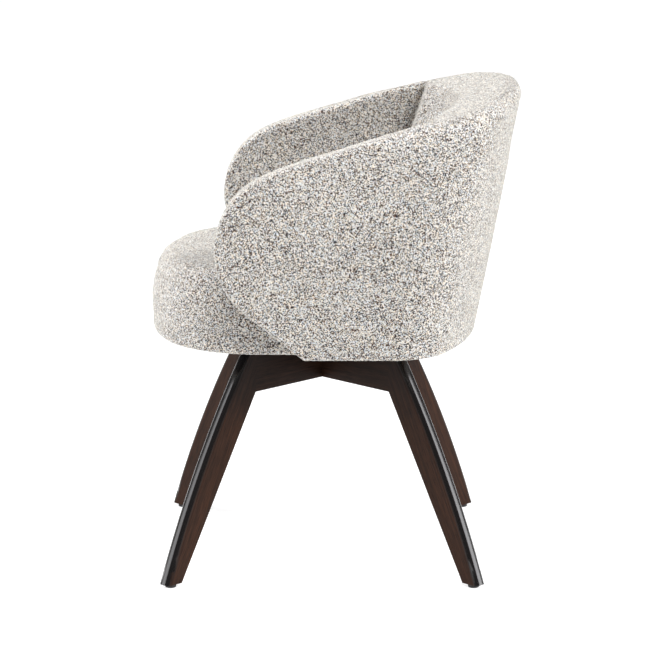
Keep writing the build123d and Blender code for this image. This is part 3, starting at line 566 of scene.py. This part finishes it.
def skin(field, low, high, step):
    """Closed mesh of quads over a field's zero level, in millimetres, drawn onto the level."""
    axes = [np.arange(a - 2 * step, b + 2.5 * step, step) for a, b in zip(low, high)]
    x, y, z = axes[0][:, None, None], axes[1][None, :, None], axes[2][None, None, :]
    value = field(x, y, z) + 0 * (x + y + z)
    inside = value < 0
    count = [n - 1 for n in value.shape]
    corners = [(i, j, k) for i in (0, 1) for j in (0, 1) for k in (0, 1)]
    filled = sum(
        inside[i:i + count[0], j:j + count[1], k:k + count[2]].astype(np.int8) for i, j, k in corners
    )
    cells = np.argwhere((filled > 0) & (filled < 8))
    middle = np.zeros(cells.shape)
    hits = np.zeros(len(cells))
    for a in corners:
        for b in corners:
            if sum(b) - sum(a) == 1 and all(q >= p for p, q in zip(a, b)):
                at_a = value[tuple((cells + a).T)]
                at_b = value[tuple((cells + b).T)]
                cut = (at_a < 0) != (at_b < 0)
                share = np.where(cut, at_a / np.where(cut, at_a - at_b, 1), 0)
                spot = np.array(a) + share[:, None] * (np.array(b) - np.array(a))
                middle += np.where(cut[:, None], spot, 0)
                hits += cut
    points = np.array([axis[0] for axis in axes]) + step * (cells + middle / hits[:, None])
    number = np.full(count, -1)
    number[tuple(cells.T)] = np.arange(len(cells))
    quads = []
    for axis in range(3):
        one, two = (axis + 1) % 3, (axis + 2) % 3
        ahead = np.roll(inside, -1, axis)
        cut = inside != ahead
        for other in (one, two):
            cut[tuple(0 if k == other else slice(None) for k in range(3))] = False
        cut[tuple(-1 if k == axis else slice(None) for k in range(3))] = False
        edges = np.argwhere(cut)
        step_one, step_two = np.eye(3, dtype=int)[one], np.eye(3, dtype=int)[two]
        ring = [edges - step_one - step_two, edges - step_two, edges, edges - step_one]
        quad = np.stack([number[tuple(cell.T)] for cell in ring], axis=1)
        leaving = inside[tuple(edges.T)]
        quads.append(np.where(leaving[:, None], quad, quad[:, ::-1]))
    quads = np.concatenate(quads)
    for _ in range(SETTLE_ROUNDS):
        slope = []
        for axis in range(3):
            nudge = np.eye(3)[axis] * NUDGE
            slope.append((field(*(points + nudge).T) - field(*(points - nudge).T)) / (2 * NUDGE))
        slope = np.stack(slope, axis=1)
        size = np.maximum((slope**2).sum(1), LEAST_SLOPE)
        points -= np.clip(field(*points.T) / size, -step, step)[:, None] * slope
    return points, quads


def soft_piece(name, points, quads):
    """Object from points in millimetres about the swivel axis."""
    mesh = bpy.data.meshes.new(name)
    mesh.vertices.add(len(points))
    places = points / 1000 + (0, AXIS_SHIFT, 0)
    mesh.vertices.foreach_set("co", places.astype(np.float32).ravel())
    mesh.loops.add(quads.size)
    mesh.loops.foreach_set("vertex_index", quads.astype(np.int32).ravel())
    mesh.polygons.add(len(quads))
    mesh.polygons.foreach_set("loop_start", np.arange(0, quads.size, 4, dtype=np.int32))
    mesh.update(calc_edges=True)
    mesh.validate()
    made = bpy.data.objects.new(name, mesh)
    scene.collection.objects.link(made)
    return made


wall_points, wall_quads = skin(wall_field, *WALL_SPACE, WALL_STEP)
wall = soft_piece("upholstered_wall", wall_points, wall_quads)
raise_nap(wall)
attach(wall, "seat")
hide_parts("back_upholstery", "back_pad")

# Seat cushion: foam on the board in a sewn cover, a crowned round top panel joined by one drawn-in seam
# to an upright boxing strip that is pulled under the board. The board is let in from below. Each point
# of the profile is a distance outside the plan and a height, in millimetres.
SEAT_STEP = 2.6
SEAT_SPACE = ((-242.0, -282.0, 380.0), (242.0, 165.0, 522.0))
SEAT_CENTRE = -20.0
SEAT_FRONT_STARTS = -35.0
SEAT_HALF_WIDTH = 242.0
SEAT_FRONT_END = (260.6, 380.0, 170.0)
SEAT_REAR_RADIUS = 395.0
SEAT_REAR_CORNER = 162.0
SEAT_BACK_GAP = 3.0
SEAM_LEVEL = 479.0
SEAM_WIDTH = 2.4
SEAM_DEPTH = 1.8
BOARD_HALF_WIDTH = 222.0
BOARD_FRONT_END = (240.6, 295.0, 170.0)
BOARD_REAR_END = (223.0, 460.0, 60.0)
SEAT_PROFILE = [
    (-300.0, 380.0),
    (-9.0, 380.0),
    (-5.5, 381.0),
    (-3.4, 383.5),
    (-2.6, 388.0),
    (-2.2, 405.0),
    (-1.5, 420.0),
    (-1.0, 438.0),
    (-3.5, 456.0),
    (-6.8, 470.0),
    (-9.4, 479.0),
    (-11.0, 487.0),
    (-17.5, 498.5),
    (-33.0, 508.0),
    (-60.0, 511.0),
    (-100.0, 512.8),
    (-170.0, 514.4),
    (-300.0, 515.0),
]


def round_plan(x, y, half, front_end, rear_end):
    """Distance outside a plan about the seat's centre. An end is its reach, radius and corner radius."""
    along = y - SEAT_CENTRE
    rear, _ = plan_distance(x, along, half, *rear_end)
    front, _ = plan_distance(x, -along, half, *front_end)
    return np.where(along > SEAT_FRONT_STARTS, rear, front)


def seat_field(x, y, z):
    """Distance outside the cushion, negative inside it: one upright profile round its plan."""
    reach = through_levels(z, WALL_REARS) - WALL_THICKNESS - PAD_DEPTH - SEAT_BACK_GAP - SEAT_CENTRE
    rear_end = (reach, SEAT_REAR_RADIUS, SEAT_REAR_CORNER)
    plan = round_plan(x, y, SEAT_HALF_WIDTH, SEAT_FRONT_END, rear_end)
    drawn_in = SEAM_DEPTH * np.exp(-(((z - SEAM_LEVEL) / SEAM_WIDTH) ** 2))
    full = outline_distance(SEAT_PROFILE, plan, z) + drawn_in
    board = round_plan(x, y, BOARD_HALF_WIDTH, BOARD_FRONT_END, BOARD_REAR_END)
    return np.maximum(full, np.minimum(-board, PAD_BOTTOM - z))


seat_points, seat_quads = skin(seat_field, *SEAT_SPACE, SEAT_STEP)
cushion = soft_piece("seat_pad", seat_points, seat_quads)
raise_nap(cushion)
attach(cushion, "seat")
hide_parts("seat_cushion")

# Dust cover: thin black spun cloth pulled flat under the board, with a square window for the swivel.
# Cut 3 mm inside the board's outline. The cloth is pressed with fine dots.
COVER_INSET = 3.0
COVER_LEVEL = 383.6
COVER_WINDOW = 84.0
COVER_TURNS = 240
COVER_RINGS = 16
COVER_SEARCH = (100.0, 400.0)
SEARCH_ROUNDS = 40
DOT_SPACING = 0.0014
DOT_DEPTH = 0.0004
surface = {"Roughness": 0.85, "Specular IOR Level": 0.25, "Sheen Weight": 0.2}
spun_black, tree, shader, place = start_material("spun_dust_cloth", surface)
dots = add_node(
    tree, "ShaderNodeTexVoronoi", {"Vector": place, "Scale": 1 / DOT_SPACING, "Randomness": 0.25}
)
tint = add_node(tree, "ShaderNodeValToRGB", {"Fac": dots.outputs["Distance"]})
set_stops(tint, [(0.2, "#141415"), (0.6, "#242426")])
press = add_node(
    tree, "ShaderNodeBump", {"Height": dots.outputs["Distance"], "Strength": 0.4, "Distance": DOT_DEPTH}
)
tree.links.new(tint.outputs[0], shader.inputs["Base Color"])
tree.links.new(press.outputs[0], shader.inputs["Normal"])
turns = np.arange(COVER_TURNS) * 2 * math.pi / COVER_TURNS
aim_x, aim_y = np.cos(turns), np.sin(turns)
near, far = (np.full(COVER_TURNS, reach) for reach in COVER_SEARCH)
for _ in range(SEARCH_ROUNDS):
    middle = (near + far) / 2
    outside = round_plan(aim_x * middle, aim_y * middle, BOARD_HALF_WIDTH, BOARD_FRONT_END, BOARD_REAR_END)
    near = np.where(outside < -COVER_INSET, middle, near)
    far = np.where(outside < -COVER_INSET, far, middle)
window = COVER_WINDOW / np.maximum(np.abs(aim_x), np.abs(aim_y))
shares = np.linspace(0, 1, COVER_RINGS + 1)[:, None]
reaches = window + (near - window) * shares
level = np.full(reaches.shape, COVER_LEVEL)
cover_points = np.stack([aim_x * reaches, aim_y * reaches, level], axis=2).reshape(-1, 3)
ring, spoke = np.meshgrid(np.arange(COVER_RINGS), np.arange(COVER_TURNS), indexing="ij")
onward = (spoke + 1) % COVER_TURNS
corners = [(ring, spoke), (ring, onward), (ring + 1, onward), (ring + 1, spoke)]
cover_quads = np.stack([r * COVER_TURNS + t for r, t in corners], axis=2).reshape(-1, 4)
cover = soft_piece("dust_cloth", cover_points, cover_quads)
cover.data.materials.append(spun_black)
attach(cover, "seat")
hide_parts("dust_cover")

# Floor, light and camera: a pale seamless floor in a white surround, a broad fill and soft lamps above,
# in front and behind, and the photo's long-lens view of the sitter's left side. The two upright boxes
# give the legs' edges most of what they reflect. Sizes in metres and angles in degrees.
FLOOR_HALF = 50.0
SURROUND_GLOW = 0.2
FILL_GLOW = 1.8
FILL_SPREAD = 12
FILL_TURN = (0, 54, 38)
LAMP_COLOUR = "#fcfbfd"
CHAIR_MIDDLE = (0, 0, 0.5)
BOX_TARGET = (0.25, 0, 1.35)
BOX_SIZE = (0.9, 2.6)
VIEW_PLACE = (5.4, -0.0080, 1.561)
VIEW_DROP = 12.45
VIEW_LENS = 182.3
VIEW_FILM = 36.0
VIEW_REACH = 120.0
surface = {
    "Roughness": 0.9,
    "Base Color": linear("#bfbfbf"),
    "Emission Color": linear("#ffffff"),
    "Emission Strength": 0.76,
}
floor_white = start_material("floor_white", surface)[0]
floor_mesh = bpy.data.meshes.new("floor")
floor_corners = [(x * FLOOR_HALF, y * FLOOR_HALF, 0) for x, y in ((-1, -1), (1, -1), (1, 1), (-1, 1))]
floor_mesh.from_pydata(floor_corners, [], [(0, 1, 2, 3)])
floor_mesh.materials.append(floor_white)
floor = bpy.data.objects.new("floor", floor_mesh)
scene.collection.objects.link(floor)

world = bpy.data.worlds.new("white_surround")
world.use_nodes = True
surround = world.node_tree.nodes["Background"].inputs
surround["Color"].default_value = linear("#ffffff")
surround["Strength"].default_value = SURROUND_GLOW
scene.world = world


def soft_lamp(name, place, target, size, power):
    """Soft rectangular lamp aimed at a point."""
    lamp = bpy.data.lights.new(name, "AREA")
    lamp.shape = "RECTANGLE"
    lamp.size, lamp.size_y = size
    lamp.energy = power
    lamp.color = linear(LAMP_COLOUR)[:3]
    holder = bpy.data.objects.new(name, lamp)
    holder.location = place
    away = Vector(place) - Vector(target)
    holder.rotation_euler = away.to_track_quat("Z", "Y").to_euler()
    scene.collection.objects.link(holder)
    return holder


sky = bpy.data.lights.new("fill", "SUN")
sky.energy = FILL_GLOW
sky.angle = math.radians(FILL_SPREAD)
fill = bpy.data.objects.new("fill", sky)
fill.rotation_euler = [math.radians(angle) for angle in FILL_TURN]
fill.visible_glossy = False
scene.collection.objects.link(fill)
soft_lamp("overhead", place=(0.7, -0.2, 2.7), target=CHAIR_MIDDLE, size=(1.2, 1.2), power=48)
soft_lamp("front_box", place=(0.25, -2.6, 1.35), target=BOX_TARGET, size=BOX_SIZE, power=28)
rim = soft_lamp("front_rim", place=(-0.9, -2.3, 1.2), target=CHAIR_MIDDLE, size=(0.9, 1.6), power=44)
rim.visible_glossy = False
soft_lamp("rear_box", place=(0.25, 2.6, 1.35), target=BOX_TARGET, size=BOX_SIZE, power=49)

view = bpy.data.cameras.new("photo_view")
view.lens = VIEW_LENS
view.sensor_width = VIEW_FILM
view.clip_end = VIEW_REACH
camera = bpy.data.objects.new("photo_view", view)
camera.location = VIEW_PLACE
camera.rotation_euler = (math.radians(90 - VIEW_DROP), 0, math.radians(90))
scene.collection.objects.link(camera)
scene.camera = camera
scene.view_settings.view_transform = "Standard"
